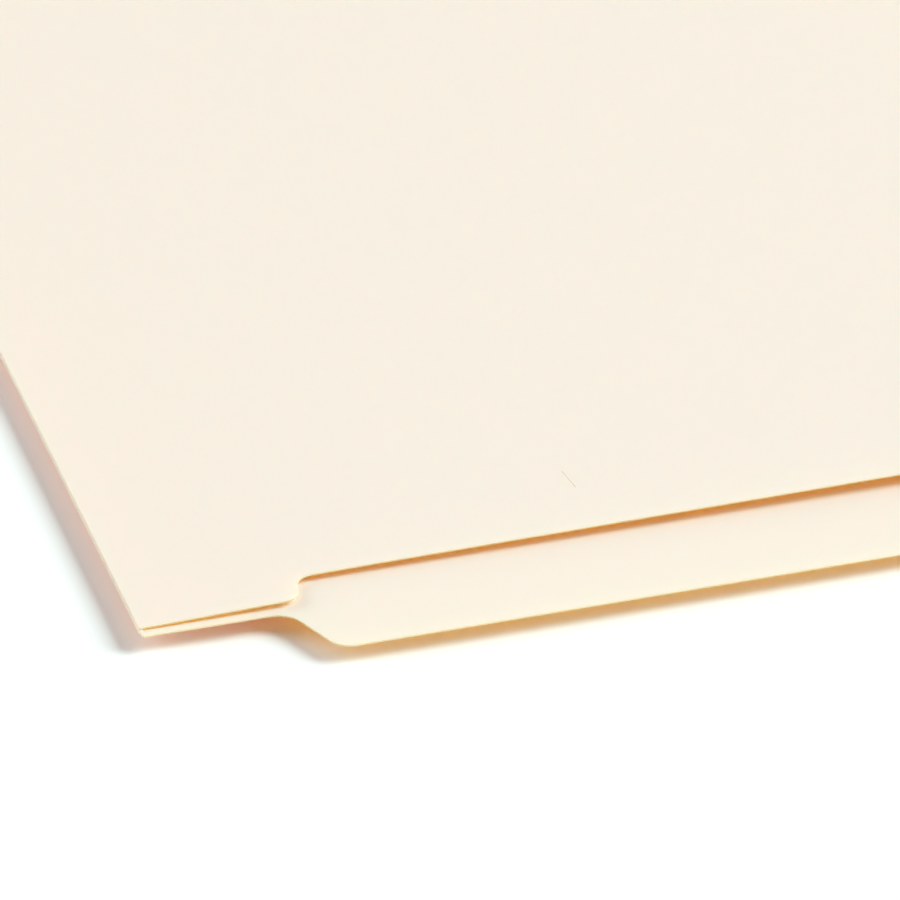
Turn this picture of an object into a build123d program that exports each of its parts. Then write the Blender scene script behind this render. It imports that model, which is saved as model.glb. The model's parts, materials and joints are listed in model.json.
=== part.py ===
from build123d import *
import math
import os

# An end-tab manila folder, letter size, lying closed.
# It is one die-cut sheet: a back leaf with a long tab on its short end, a rolled crease and a front leaf.
# Millimetres, +Z up. The fold runs along Y on the -X side, and the tab points to -Y.
# The origin is the middle of the footprint, on the underside of the back leaf.

# Sheet
leaf_width = 241.3        # from the fold to the free edge
body_length = 298.45      # along the fold, without the tab
stock = 0.28              # thickness of the manila

# End tab on the back leaf
tab_reach = 12.7          # the tab stands this far past the heel beside the fold
shoulder_place = 26.4     # from the fold to half way down the tab's shoulder
shoulder_slope = 69.0     # steepness of the shoulder, in degrees from the tab's edge
shoulder_fillet = 4.8     # bend from the heel into the shoulder
tab_corner = 3.6          # rounded corner from the shoulder into the tab's edge
tab_free_corner = 9.5     # rounded corner at the tab's other end, on the free edge

# Cut of the front leaf, which leaves the tab uncovered
heel_setback = 1.7        # the front heel lies this far behind the back one
heel_slant = 0.28         # the slanted cut between the two heels runs this far onto the back leaf
front_step = 6.7          # the front edge over the tab lies this far behind the front heel
step_place = 27.0         # from the fold to half way up the step
step_slope = 76.0         # steepness of the step, in degrees from the front edge
step_corner = 2.6         # rounded corner from the heel into the step
step_fillet = 3.0         # bend from the step into the front edge
front_free_corner = 9.5   # rounded corner on the free edge

# Rolled crease, and the front leaf's section from the crease to its free edge
crease_bore = 0.14        # inner radius of the crease
spring_slope = 1.6        # slope of the front leaf where the crease springs it open, in degrees
spring_run = 15.5         # straight run at that slope
ease_radius = 1800.0      # wide bend that eases the leaf back down
rest_slope = 0.57         # slope of the rest of the leaf, in degrees

# Places that follow from the sizes
crease_radius = crease_bore + stock
fold_x = -leaf_width / 2
free_x = leaf_width / 2
axis_x = fold_x + crease_radius
axis_z = crease_radius
tab_y = -(body_length + tab_reach) / 2
heel_y = tab_y + tab_reach
end_y = heel_y + body_length
front_heel_y = heel_y + heel_setback
front_edge_y = front_heel_y + front_step
quarter_turn = crease_radius * math.pi / 2    # outside of the crease, from the fold to the back leaf
slant_y = heel_y + heel_setback * heel_slant / (heel_slant + quarter_turn)
leaf_room = leaf_width / 4    # more height than the front leaf ever needs


def slanted_edge(place, height, slope, lower_radius, upper_radius):
    """X at the two ends of a slanted edge of this height, and its corner radii, kept to what the edge can hold."""
    half_run = height / 2 / math.tan(math.radians(slope))
    half_length = height / 2 / math.sin(math.radians(slope))
    room = 0.95 * half_length / math.tan(math.radians(slope / 2))
    return fold_x + place - half_run, fold_x + place + half_run, min(lower_radius, room), min(upper_radius, room)


def rounded_outline(corners):
    """Flat face with corners (x, y, radius), where radius 0 stays sharp."""
    outline = make_face(Polyline(*[(x, y) for x, y, _ in corners], close=True))
    for x, y, radius in corners:
        if radius > 0:
            outline = fillet(outline.vertices().sort_by_distance((x, y, 0))[0], radius)
    return outline


def back_outline():
    """Outline of the back leaf: heel, shoulder, tab edge, free edge and plain far end."""
    upper_x, lower_x, bend, corner = slanted_edge(
        shoulder_place, tab_reach, shoulder_slope, shoulder_fillet, tab_corner)
    return rounded_outline([
        (axis_x, slant_y, 0),
        (axis_x + heel_slant, heel_y, 0),
        (upper_x, heel_y, bend),
        (lower_x, tab_y, corner),
        (free_x, tab_y, tab_free_corner),
        (free_x, end_y, 0),
        (axis_x, end_y, 0),
    ])


def front_outline():
    """Outline of the front leaf from above, out to the fold: heel, step, cut-back edge, free edge and far end."""
    lower_x, upper_x, corner, bend = slanted_edge(
        step_place, front_step, step_slope, step_corner, step_fillet)
    return rounded_outline([
        (fold_x, front_heel_y, 0),
        (lower_x, front_heel_y, corner),
        (upper_x, front_edge_y, bend),
        (free_x, front_edge_y, front_free_corner),
        (free_x, end_y, 0),
        (fold_x, end_y, 0),
    ])


def polar(radius, angle):
    """Vector of this length at an angle in degrees."""
    return Vector(radius * math.cos(math.radians(angle)), radius * math.sin(math.radians(angle)))


crease_centre = Vector(axis_x, axis_z)


def leaf_line(radius):
    """One face of the front leaf in section, starting on the crease at this radius."""
    start = crease_centre + polar(radius, 90 + spring_slope)
    spring = PolarLine(start, spring_run, spring_slope)
    ease = JernArc(spring @ 1, spring % 1, ease_radius + radius, rest_slope - spring_slope)
    rest = PolarLine(ease @ 1, leaf_width, rest_slope)
    return [spring, ease, rest]


def front_section():
    """Section of the front leaf, longer than the leaf itself."""
    inner = leaf_line(crease_bore)
    outer = leaf_line(crease_radius)
    ends = [Line(inner[0] @ 0, outer[0] @ 0), Line(inner[-1] @ 1, outer[-1] @ 1)]
    return make_face(inner + outer + ends)


def back_leaf():
    """Flat leaf that lies on the table and carries the tab."""
    return extrude(back_outline(), stock)


def front_leaf():
    """Leaf that springs up from the crease and eases back down, cut to its outline."""
    sheet = extrude(Plane.XZ * front_section(), body_length, both=True)
    return sheet & extrude(front_outline(), leaf_room)


def fold_crease():
    """Rolled strip between the two leaves, whose near end slants from the back heel to the front one."""
    turn = 180 - spring_slope
    outer = CenterArc(crease_centre, crease_radius, 90 + spring_slope, turn)
    inner = CenterArc(crease_centre, crease_bore, 90 + spring_slope, turn)
    roll = make_face([outer, inner, Line(inner @ 0, outer @ 0), Line(inner @ 1, outer @ 1)])
    strip = extrude(Plane((0, slant_y, 0), x_dir=(1, 0, 0), z_dir=(0, -1, 0)) * roll, slant_y - end_y)
    slant = make_face(Polyline(
        (slant_y, 0), (front_heel_y, axis_z), (front_heel_y, 2 * crease_radius), (slant_y, 2 * crease_radius), close=True))
    return strip - extrude(Plane.YZ * slant, leaf_width, both=True)


os.makedirs("parts", exist_ok=True)
for name, make in [("back_leaf", back_leaf), ("front_leaf", front_leaf), ("fold_crease", fold_crease)]:
    export_step(make(), f"parts/{name}.step")
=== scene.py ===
import json
import math

import bmesh
import bpy
import numpy as np
from mathutils import Matrix, Vector


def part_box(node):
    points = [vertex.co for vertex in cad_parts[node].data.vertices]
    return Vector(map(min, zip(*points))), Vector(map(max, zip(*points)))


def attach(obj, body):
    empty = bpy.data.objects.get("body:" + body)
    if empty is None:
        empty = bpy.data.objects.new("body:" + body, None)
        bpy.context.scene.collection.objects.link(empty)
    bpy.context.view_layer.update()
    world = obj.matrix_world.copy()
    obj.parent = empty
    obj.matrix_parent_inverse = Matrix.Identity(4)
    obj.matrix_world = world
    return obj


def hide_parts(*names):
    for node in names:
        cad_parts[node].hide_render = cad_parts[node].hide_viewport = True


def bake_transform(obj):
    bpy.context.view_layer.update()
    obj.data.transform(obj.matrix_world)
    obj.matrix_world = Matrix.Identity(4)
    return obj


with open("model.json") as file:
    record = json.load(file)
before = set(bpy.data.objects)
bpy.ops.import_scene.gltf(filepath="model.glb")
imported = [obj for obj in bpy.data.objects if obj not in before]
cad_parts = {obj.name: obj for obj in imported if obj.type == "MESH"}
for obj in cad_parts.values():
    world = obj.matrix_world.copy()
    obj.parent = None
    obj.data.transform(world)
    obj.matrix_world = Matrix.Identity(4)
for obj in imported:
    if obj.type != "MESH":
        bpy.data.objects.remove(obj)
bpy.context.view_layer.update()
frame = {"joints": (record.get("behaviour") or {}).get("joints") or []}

mm = 0.001               # sizes below are in millimetres, Blender works in metres

# Places on the folder, read from the frame and turned to millimetres
backLow, backHigh = (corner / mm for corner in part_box("back_leaf"))
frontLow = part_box("front_leaf")[0] / mm
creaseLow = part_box("fold_crease")[0] / mm
hinge = Vector(frame["joints"][0]["pos_m"]) / mm     # axis of the fold, which is the only joint
stock = backHigh.z - backLow.z           # thickness of the card
creaseRadius = hinge.x - creaseLow.x     # outside of the rolled crease
creaseBore = creaseRadius - stock        # inside of it
foldX, freeX = creaseLow.x, backHigh.x
tabY, endY = backLow.y, backHigh.y
slantY, frontHeelY = creaseLow.y, frontLow.y     # near end of the crease, low down and at the front leaf
print("frame: sheet %.1f x %.1f mm, card %.2f mm" % (freeX - foldX, endY - tabY, stock))


def hexToLinear(code):
    # by the curve of the sRGB standard
    channels = [int(code[i:i + 2], 16) / 255 for i in (1, 3, 5)]
    return [c / 12.92 if c <= 0.04045 else ((c + 0.055) / 1.055) ** 2.4 for c in channels] + [1.0]


def addNode(tree, kind, settings=None, inputs=None):
    # one node: settings are its own properties, inputs are values or sockets to link from
    node = tree.nodes.new(kind)
    for name, value in (settings or {}).items():
        setattr(node, name, value)
    for name, value in (inputs or {}).items():
        if isinstance(value, bpy.types.NodeSocket):
            tree.links.new(value, node.inputs[name])
        else:
            node.inputs[name].default_value = value
    return node


def newMaterial(name):
    material = bpy.data.materials.new(name)
    material.use_nodes = True
    material.node_tree.nodes.clear()
    return material, material.node_tree


# Manila card: long-fibred pulp, tinted buff, calendered on the machine and left uncoated.
# To the eye it is a warm, even, matt cream, and what light soaks through it comes out orange.
manilaFace = {
    "pulp": "#FDFFFD",           # sent straight back; the cream comes from light that soaks in
    "cloud": "#FEFFFF",          # paler clouds, where the pulp lies thicker
    "fibre": "#FBFDF5",          # long fibres, which hold a little more of the tint
    "through": "#FFD627",        # light that has soaked in
    "soak": 0.346,               # share of the light that soaks in at each face
    "ior": 1.5,                  # cellulose
    "roughness": 0.72,
    "cloudMm": 2.4,              # size of the clouds
    "cloudDetail": 3.0,
    "cloudRoughness": 0.55,
    "fibreMm": 0.8,              # bends of a fibre
    "fibreTwist": 1.2,           # how much the bends wander
    "fibreLevel": 0.5,           # level of the noise that the fibres follow
    "fibreWidth": 0.02,          # share of the bend's size; real ones are finer and wouldn't show
    "fibreFrom": 0.5,            # density of the clouds where fibres begin to show
    "fibreFull": 0.62,           # and where they show fully
    "toothMm": 0.22,             # grain left by the calender rolls
    "toothDepthMm": 0.003,
    "toothDetail": 2.0,
    "toothRoughness": 0.6,
    "stretch": (1.0, 1.0, 1.0),  # a number below 1 draws the grain out along that axis
}
# Die-cut edge of the same card: torn fibre ends, rougher and without the calender's smooth grain.
# Light that has soaked into the sheet comes out of it, so it shows as a pale, bright line.
manilaCut = dict(manilaFace, roughness=0.9, toothMm=0.12, toothDepthMm=0.012,
                 through="#FFF9F1", soak=0.63)
# Fold of the same card: the outer fibres are strained, which opens fine cracks along it and dulls it.
# So thin a roll fills with light from above, which keeps its side bright.
manilaFold = dict(manilaFace, roughness=0.82, toothMm=0.16, toothDepthMm=0.006,
                  stretch=(1.0, 0.12, 1.0), through="#FFF9F1", soak=0.6)

mixShare, mixFirst, mixSecond, mixed = 0, 6, 7, 2    # a Mix node's sockets for colours


def buildManila(name, look):
    material, tree = newMaterial(name)
    place = addNode(tree, "ShaderNodeTexCoord").outputs["Object"]
    clouds = addNode(tree, "ShaderNodeTexNoise", None, {
        "Vector": place, "Scale": 1 / (look["cloudMm"] * mm),
        "Detail": look["cloudDetail"], "Roughness": look["cloudRoughness"]})
    pulp = addNode(tree, "ShaderNodeMix", {"data_type": "RGBA"}, {
        mixShare: clouds.outputs["Fac"],
        mixFirst: hexToLinear(look["pulp"]), mixSecond: hexToLinear(look["cloud"])})
    # fibres: thin level lines of a noise, kept only where the clouds are dense
    bends = addNode(tree, "ShaderNodeTexNoise", None, {
        "Vector": place, "Scale": 1 / (look["fibreMm"] * mm),
        "Detail": 0.0, "Distortion": look["fibreTwist"]})
    level = addNode(tree, "ShaderNodeMath", {"operation": "COMPARE"}, {
        0: bends.outputs["Fac"], 1: look["fibreLevel"], 2: look["fibreWidth"]})
    dense = addNode(tree, "ShaderNodeMapRange", None, {
        "Value": clouds.outputs["Fac"], "From Min": look["fibreFrom"], "From Max": look["fibreFull"]})
    fibre = addNode(tree, "ShaderNodeMath", {"operation": "MULTIPLY"}, {
        0: level.outputs[0], 1: dense.outputs[0]})
    paper = addNode(tree, "ShaderNodeMix", {"data_type": "RGBA"}, {
        mixShare: fibre.outputs[0],
        mixFirst: pulp.outputs[mixed], mixSecond: hexToLinear(look["fibre"])})
    drawn = addNode(tree, "ShaderNodeMapping", {"vector_type": "POINT"}, {
        "Vector": place, "Scale": look["stretch"]})
    tooth = addNode(tree, "ShaderNodeTexNoise", None, {
        "Vector": drawn.outputs[0], "Scale": 1 / (look["toothMm"] * mm),
        "Detail": look["toothDetail"], "Roughness": look["toothRoughness"]})
    bump = addNode(tree, "ShaderNodeBump", None, {
        "Height": tooth.outputs["Fac"], "Distance": look["toothDepthMm"] * mm, "Strength": 1.0})
    front = addNode(tree, "ShaderNodeBsdfPrincipled", None, {
        "Base Color": paper.outputs[mixed], "Roughness": look["roughness"], "IOR": look["ior"],
        "Normal": bump.outputs["Normal"]})
    through = addNode(tree, "ShaderNodeBsdfTranslucent", None, {"Color": hexToLinear(look["through"])})
    card = addNode(tree, "ShaderNodeMixShader", None, {
        0: look["soak"], 1: front.outputs["BSDF"], 2: through.outputs["BSDF"]})
    addNode(tree, "ShaderNodeOutputMaterial", None, {"Surface": card.outputs["Shader"]})
    return material


calendered = buildManila("manila card, calendered", manilaFace)
dieCut = buildManila("manila card, die-cut edge", manilaCut)
folded = buildManila("manila card, folded", manilaFold)
print("materials: manila card, its cut edge and its fold")


def roundedPath(corners, arcSteps, longestRun):
    # lines and tangent arcs through (x, y, radius) corners, as points with no long gaps
    points = [Vector(corners[0][:2])]
    for before, here, after in zip(corners, corners[1:], corners[2:]):
        corner = Vector(here[:2])
        radius = here[2]
        back = (Vector(before[:2]) - corner).normalized()
        ahead = (Vector(after[:2]) - corner).normalized()
        half = back.angle(ahead) / 2
        reach = radius / math.tan(half)
        centre = corner + (back + ahead).normalized() * radius / math.sin(half)
        first, last = corner + back * reach, corner + ahead * reach
        turn = (first - centre).angle_signed(last - centre)
        for step in range(arcSteps + 1):
            spoke = (first - centre).copy()
            spoke.rotate(Matrix.Rotation(-turn * step / arcSteps, 2))
            points.append(centre + spoke)
    points.append(Vector(corners[-1][:2]))
    filled = [points[0]]
    for point in points[1:]:
        start = filled[-1].copy()
        count = math.ceil(round((point - start).length / longestRun, 6))     # none where two arcs meet
        filled += [start.lerp(point, k / count) for k in range(1, count + 1)]
    return filled


def slantedEdge(cut, height):
    # x of the two ends of a slanted edge that is half way at cut["place"]
    halfRun = height / 2 / math.tan(math.radians(cut["slope"]))
    return foldX + cut["place"] - halfRun, foldX + cut["place"] + halfRun


# Cut edge of the card: the die crushes it a little, so it isn't square
cutEdge = {
    "bulge": 0.06,           # mm past the outline
    "steps": 4,              # faces across the edge
    "smoothBelow": 50.0,     # degrees between two faces that are shaded as one
}


def rimPlaces(columns, rows):
    # round the sheet: each place on the rim, those before and after it, and the one inside it
    near = [((i, 0), (max(i - 1, 0), 0), (min(i + 1, columns), 0), (i, 1)) for i in range(columns + 1)]
    free = [((columns, j), (columns, j - 1), (columns, j + 1), (columns - 1, j)) for j in range(1, rows)]
    far = [((i, rows), (min(i + 1, columns), rows), (max(i - 1, 0), rows), (i, rows - 1))
           for i in range(columns, -1, -1)]
    fold = [((0, j), (0, j + 1), (0, j - 1), (1, j)) for j in range(rows - 1, 0, -1)]
    return near + free + far + fold


def gridVerts(mesh, grid):
    # a vertex for each point of a grid in mm, kept by its (column, row)
    return {(i, j): mesh.verts.new(Vector(point) * mm)
            for i, column in enumerate(grid) for j, point in enumerate(column)}


def sheetMesh(name, lower, upper, faceFinish, joined):
    # closed sheet from two grids of points in mm, lower[column][row] and upper[column][row]
    # joined columns run on into the next piece, so the cut isn't rounded along them
    mesh = bmesh.new()
    below = gridVerts(mesh, lower)
    above = gridVerts(mesh, upper)
    columns, rows = len(lower) - 1, len(lower[0]) - 1
    for i in range(columns):
        for j in range(rows):
            mesh.faces.new([below[place] for place in ((i, j), (i, j + 1), (i + 1, j + 1), (i + 1, j))])
            mesh.faces.new([above[place] for place in ((i, j), (i + 1, j), (i + 1, j + 1), (i, j + 1))])
    strips = []
    for here, before, after, inside in rimPlaces(columns, rows):
        foot, head = below[here], above[here]
        outward = (above[after].co - above[before].co).cross(head.co - foot.co).normalized()
        if outward.dot(head.co - above[inside].co) < 0:
            outward.negate()
        if here[0] in joined and 0 < here[1] < rows:
            outward.zero()
        strip = [foot]
        for step in range(1, cutEdge["steps"]):
            turn = math.pi * step / cutEdge["steps"]
            place = foot.co.lerp(head.co, (1 - math.cos(turn)) / 2)
            strip.append(mesh.verts.new(place + outward * math.sin(turn) * cutEdge["bulge"] * mm))
        strips.append(strip + [head])
    for strip, ahead in zip(strips, strips[1:] + strips[:1]):
        for k in range(cutEdge["steps"]):
            face = mesh.faces.new((strip[k], ahead[k], ahead[k + 1], strip[k + 1]))
            face.material_index = 1      # the die-cut finish
    bmesh.ops.recalc_face_normals(mesh, faces=mesh.faces)
    for edge in mesh.edges:
        finishes = {face.material_index for face in edge.link_faces}
        edge.smooth = len(finishes) == 1 and edge.calc_face_angle() < math.radians(cutEdge["smoothBelow"])
    data = bpy.data.meshes.new(name)
    mesh.to_mesh(data)
    mesh.free()
    for face in data.polygons:
        face.use_smooth = True
    data.materials.append(faceFinish)
    data.materials.append(dieCut)
    piece = bpy.data.objects.new(name, data)
    bpy.context.scene.collection.objects.link(piece)
    return piece


def leafGrid(nearPath, rows, height):
    # points from the near edge to the far end, rows as shares of the way
    grid = []
    for point in nearPath:
        ys = point.y + (endY - point.y) * rows
        grid.append([(point.x, y, height(point.x, y)) for y in ys])
    return grid


# Back leaf: lies under the other, with the end tab and its S-shaped shoulder
backCut = {
    "tabReach": 12.7,                    # past the heel
    "place": 26.4, "slope": 69.0,        # shoulder's middle from the fold, and its steepness in degrees
    "bend": 4.8, "corner": 3.6,          # heel into shoulder, shoulder into tab
    "freeCorner": 9.5,                   # tab's other end
    "heelSlant": 0.28,                   # run of the slanted cut beside the crease
    "heelRound": 0.1,                    # corner that the slanted cut ends in
    "arcSteps": 14, "longestRun": 5.0,   # faces round a corner, and the longest step between corners
    "rows": 60, "rowEase": 1.5,          # rows of points to the far end, closer together near the tab
}
heelY = tabY + backCut["tabReach"]
upperX, lowerX = slantedEdge(backCut, backCut["tabReach"])
backPath = roundedPath([
    (hinge.x, slantY), (hinge.x + backCut["heelSlant"], heelY, backCut["heelRound"]),
    (upperX, heelY, backCut["bend"]), (lowerX, tabY, backCut["corner"]),
    (freeX, tabY, backCut["freeCorner"]), (freeX, tabY + backCut["freeCorner"]),
], backCut["arcSteps"], backCut["longestRun"])
backRows = np.linspace(0, 1, backCut["rows"]) ** backCut["rowEase"]
backLeaf = sheetMesh("backLeafSheet", leafGrid(backPath, backRows, lambda x, y: 0.0),
                     leafGrid(backPath, backRows, lambda x, y: stock), calendered, joined=(0,))
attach(backLeaf, "back")
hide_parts("back_leaf")
print("back leaf: %d faces" % len(backLeaf.data.polygons))


# Front leaf: springs up from the crease and eases back down, cut back to leave the tab bare
frontCut = {
    "place": 27.0, "slope": 76.0,        # step's middle from the fold, and its steepness in degrees
    "step": 6.7,                         # front edge behind the heel
    "corner": 2.6, "bend": 3.0,          # heel into step, step into front edge
    "freeCorner": 9.5,
    "springSlope": 1.6, "springRun": 15.5,   # how the crease lifts the leaf, in degrees and mm
    "easeRadius": 1800.0,                # wide bend that eases it back down
    "restSlope": 0.57,                   # slope of the rest of it, in degrees
    "arcSteps": 14, "longestRun": 3.0,
    "rows": 60, "rowEase": 1.5,
}
frontEdgeY = frontHeelY + frontCut["step"]
# Short closed slit in the front leaf: its two lips meet in a fine groove, which opens a little at the ends
slit = {
    "fromFold": 79.65, "fromEdge": 13.5,     # its middle from the fold, its near end from the front edge
    "length": 6.1, "lean": 3.0,              # mm, and degrees off the fold's direction
    "halfWidth": 0.07, "depth": 0.14,
    "endHalfWidth": 0.12, "endDepth": 0.2, "endRun": 0.5,
    "columnStep": 0.02, "rowStep": 0.12, "margin": 0.45,     # of the finer mesh round it
}
slitX = foldX + slit["fromFold"]
slitY = frontEdgeY + slit["fromEdge"] + slit["length"] / 2


def slitGroove(x, y):
    # depth of the groove at a place on the leaf
    lean = math.radians(slit["lean"])
    across = (x - slitX) * math.cos(lean) + (y - slitY) * math.sin(lean)
    along = abs((y - slitY) * math.cos(lean) - (x - slitX) * math.sin(lean))
    toEnd = slit["length"] / 2 - along
    gape = max(0.0, 1 - abs(toEnd - slit["endRun"] / 2) / slit["endRun"])
    halfWidth = slit["halfWidth"] + (slit["endHalfWidth"] - slit["halfWidth"]) * gape
    depth = slit["depth"] + (slit["endDepth"] - slit["depth"]) * gape
    fade = min(1.0, max(0.0, toEnd / (slit["endRun"] / 2)))
    return depth * fade * max(0.0, 1 - abs(across) / halfWidth)


def frontZ(x, radius):
    # height of the leaf's face that starts on the crease at this radius
    spring, rest = math.radians(frontCut["springSlope"]), math.radians(frontCut["restSlope"])
    bendRadius = frontCut["easeRadius"] + radius
    startX = hinge.x - radius * math.sin(spring)
    startZ = hinge.z + radius * math.cos(spring)
    bendX = startX + frontCut["springRun"] * math.cos(spring)
    bendZ = startZ + frontCut["springRun"] * math.sin(spring)
    centreX = bendX + bendRadius * math.sin(spring)
    centreZ = bendZ - bendRadius * math.cos(spring)
    endX = centreX - bendRadius * math.sin(rest)
    if x < bendX:
        return startZ + (x - startX) * math.tan(spring)
    if x < endX:
        return centreZ + math.sqrt(bendRadius ** 2 - (x - centreX) ** 2)
    return centreZ + bendRadius * math.cos(rest) + (x - endX) * math.tan(rest)


lowerX, upperX = slantedEdge(frontCut, frontCut["step"])
frontPath = roundedPath([
    (hinge.x, frontHeelY), (lowerX, frontHeelY, frontCut["corner"]),
    (upperX, frontEdgeY, frontCut["bend"]),
    (freeX, frontEdgeY, frontCut["freeCorner"]), (freeX, frontEdgeY + frontCut["freeCorner"]),
], frontCut["arcSteps"], frontCut["longestRun"])
frontRows = np.linspace(0, 1, frontCut["rows"]) ** frontCut["rowEase"]
# finer columns and rows where the slit is
slitColumns = np.arange(slitX - slit["margin"], slitX + slit["margin"], slit["columnStep"])
frontPath = sorted(frontPath + [Vector((x, frontEdgeY)) for x in slitColumns], key=lambda point: point.x)
slitReach = slit["length"] / 2 + slit["margin"]
slitYs = np.arange(slitY - slitReach, slitY + slitReach, slit["rowStep"])
slitRows = (slitYs - frontEdgeY) / (endY - frontEdgeY)
frontRows = np.sort(np.concatenate([frontRows, slitRows]))
frontUnder = leafGrid(frontPath, frontRows, lambda x, y: frontZ(x, creaseBore))
frontTop = leafGrid(frontPath, frontRows, lambda x, y: frontZ(x, creaseRadius) - slitGroove(x, y))
frontLeaf = sheetMesh("frontLeafSheet", frontUnder, frontTop, calendered, joined=(0,))
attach(frontLeaf, "front")
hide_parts("front_leaf")
print("front leaf: %d faces" % len(frontLeaf.data.polygons))


# Fold: the card rolled over from leaf to leaf, pinched inside, trimmed aslant between the two heels
creaseRoll = {
    "turns": 36, "rows": 80,             # faces round the roll, and rows of points along it
    "pinch": 0.4,                        # how far the crushed inner fibres bulge into the gap
}


def creaseGrid(reach, radius):
    # half roll from the front leaf to the back one, with its own reach in x; below 0 it bulges into the gap
    startAngle = math.radians(90 + frontCut["springSlope"])
    grid = []
    for angle in np.linspace(startAngle, math.radians(270), creaseRoll["turns"] + 1):
        x = hinge.x + reach * math.cos(angle)
        z = hinge.z + radius * math.sin(angle)
        share = max(0.0, (angle - math.pi) / (math.pi / 2))      # of the slanted trim, on the lower half
        near = frontHeelY + (slantY - frontHeelY) * share
        grid.append([(x, y, z) for y in np.linspace(near, endY, creaseRoll["rows"])])
    return grid


crease = sheetMesh("foldCreaseRoll", creaseGrid(-creaseRoll["pinch"], creaseBore),
                   creaseGrid(creaseRadius, creaseRadius), folded, joined=(0, creaseRoll["turns"]))
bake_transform(crease)
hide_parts("fold_crease")
print("crease: %d faces" % len(crease.data.polygons))


# Floor: plain white table
floorLook = {
    "clearance": 2.94,                   # below the folder's edges, as their shadows show
    "radius": 20000.0, "sides": 64,      # far enough that its rim stays out of sight
    "colour": "#FAF6F5", "roughness": 0.9, "specular": 0.0,
}
floorReach, floorZ = floorLook["radius"] * mm, -floorLook["clearance"] * mm
turns = [2 * math.pi * k / floorLook["sides"] for k in range(floorLook["sides"])]
floorMesh = bpy.data.meshes.new("floor")
floorMesh.from_pydata([(floorReach * math.cos(turn), floorReach * math.sin(turn), floorZ) for turn in turns],
                      [], [list(range(floorLook["sides"]))])
floor = bpy.data.objects.new("floor", floorMesh)
bpy.context.scene.collection.objects.link(floor)
tableTop, tree = newMaterial("matt white table")
shader = addNode(tree, "ShaderNodeBsdfPrincipled", None, {
    "Base Color": hexToLinear(floorLook["colour"]), "Roughness": floorLook["roughness"],
    "Specular IOR Level": floorLook["specular"]})
addNode(tree, "ShaderNodeOutputMaterial", None, {"Surface": shader.outputs["BSDF"]})
floorMesh.materials.append(tableTop)


# Light: a cool key softbox on the right, a warm fill behind on the left and a weak one overhead
studio = {
    "distance": 10000.0,                 # far enough to light the whole sheet evenly
    "key": {
        "from": (1.190, -0.344, 1.0), "wide": 5810.0, "high": 5620.0,
        "share": 0.862, "tint": "#E9FFFF",
    },
    "fill": {
        "from": (-2.110, 1.608, 1.0), "wide": 13680.0, "high": 10430.0,
        "share": 0.428, "tint": "#FEFFFA",
    },
    "top": {
        "from": (0.0, 0.0, 1.0), "wide": 10000.0, "high": 10000.0,
        "share": 0.174, "tint": "#FEFFFA",
    },
    "room": 0.03,                        # brightness of a white card lit by the room alone
    "bounces": 24, "allBounces": 32,     # light in the gap needs many before it comes out
}


def softbox(name, box):
    # share is the brightness that the box alone gives a white card lying flat
    direction = Vector(box["from"]).normalized()
    reach = studio["distance"] * mm
    light = bpy.data.lights.new(name, "AREA")
    light.shape = "RECTANGLE"
    light.color = hexToLinear(box["tint"])[:3]
    light.size, light.size_y = box["wide"] * mm, box["high"] * mm
    light.energy = box["share"] * math.pi ** 2 * reach ** 2 / direction.z
    lamp = bpy.data.objects.new(name, light)
    lamp.location = direction * reach
    lamp.rotation_euler = direction.to_track_quat("Z", "Y").to_euler()
    bpy.context.scene.collection.objects.link(lamp)


for name in ("key", "fill", "top"):
    softbox(name, studio[name])
room = bpy.data.worlds.new("room")
room.use_nodes = True
room.node_tree.nodes["Background"].inputs["Color"].default_value = (1, 1, 1, 1)
room.node_tree.nodes["Background"].inputs["Strength"].default_value = studio["room"]
bpy.context.scene.world = room
bpy.context.scene.view_settings.view_transform = "Standard"
bpy.context.scene.cycles.diffuse_bounces = studio["bounces"]
bpy.context.scene.cycles.transmission_bounces = studio["bounces"]
bpy.context.scene.cycles.max_bounces = studio["allBounces"]
print("stage: floor, softboxes and room")


# Camera: where the photograph was taken from, found from the fold, the tab's edge and the heel
photoCamera = {
    "place": (-112.5, -485.8, 301.2),        # from the corner where the fold's and the tab's lines meet
    "azimuth": -18.132, "pitch": 27.782,     # degrees
    "focalPixels": 3794.0, "imagePixels": 900.0, "sensor": 36.0,
    "nearest": 10.0, "farthest": 100000.0,   # what it can see
}
cameraData = bpy.data.cameras.new("photo")
cameraData.sensor_width = photoCamera["sensor"]
cameraData.lens = photoCamera["focalPixels"] / photoCamera["imagePixels"] * photoCamera["sensor"]
cameraData.clip_start, cameraData.clip_end = photoCamera["nearest"] * mm, photoCamera["farthest"] * mm
camera = bpy.data.objects.new("photo", cameraData)
camera.location = (Vector((foldX, tabY, 0)) + Vector(photoCamera["place"])) * mm
azimuth, pitch = math.radians(photoCamera["azimuth"]), math.radians(photoCamera["pitch"])
level = Vector((-math.sin(azimuth), math.cos(azimuth), 0)) * math.cos(pitch)
towards = level - Vector((0, 0, math.sin(pitch)))
camera.rotation_mode = "QUATERNION"
camera.rotation_quaternion = towards.to_track_quat("-Z", "Y")
bpy.context.scene.collection.objects.link(camera)
bpy.context.scene.camera = camera
print("camera: %.0f mm lens" % cameraData.lens)
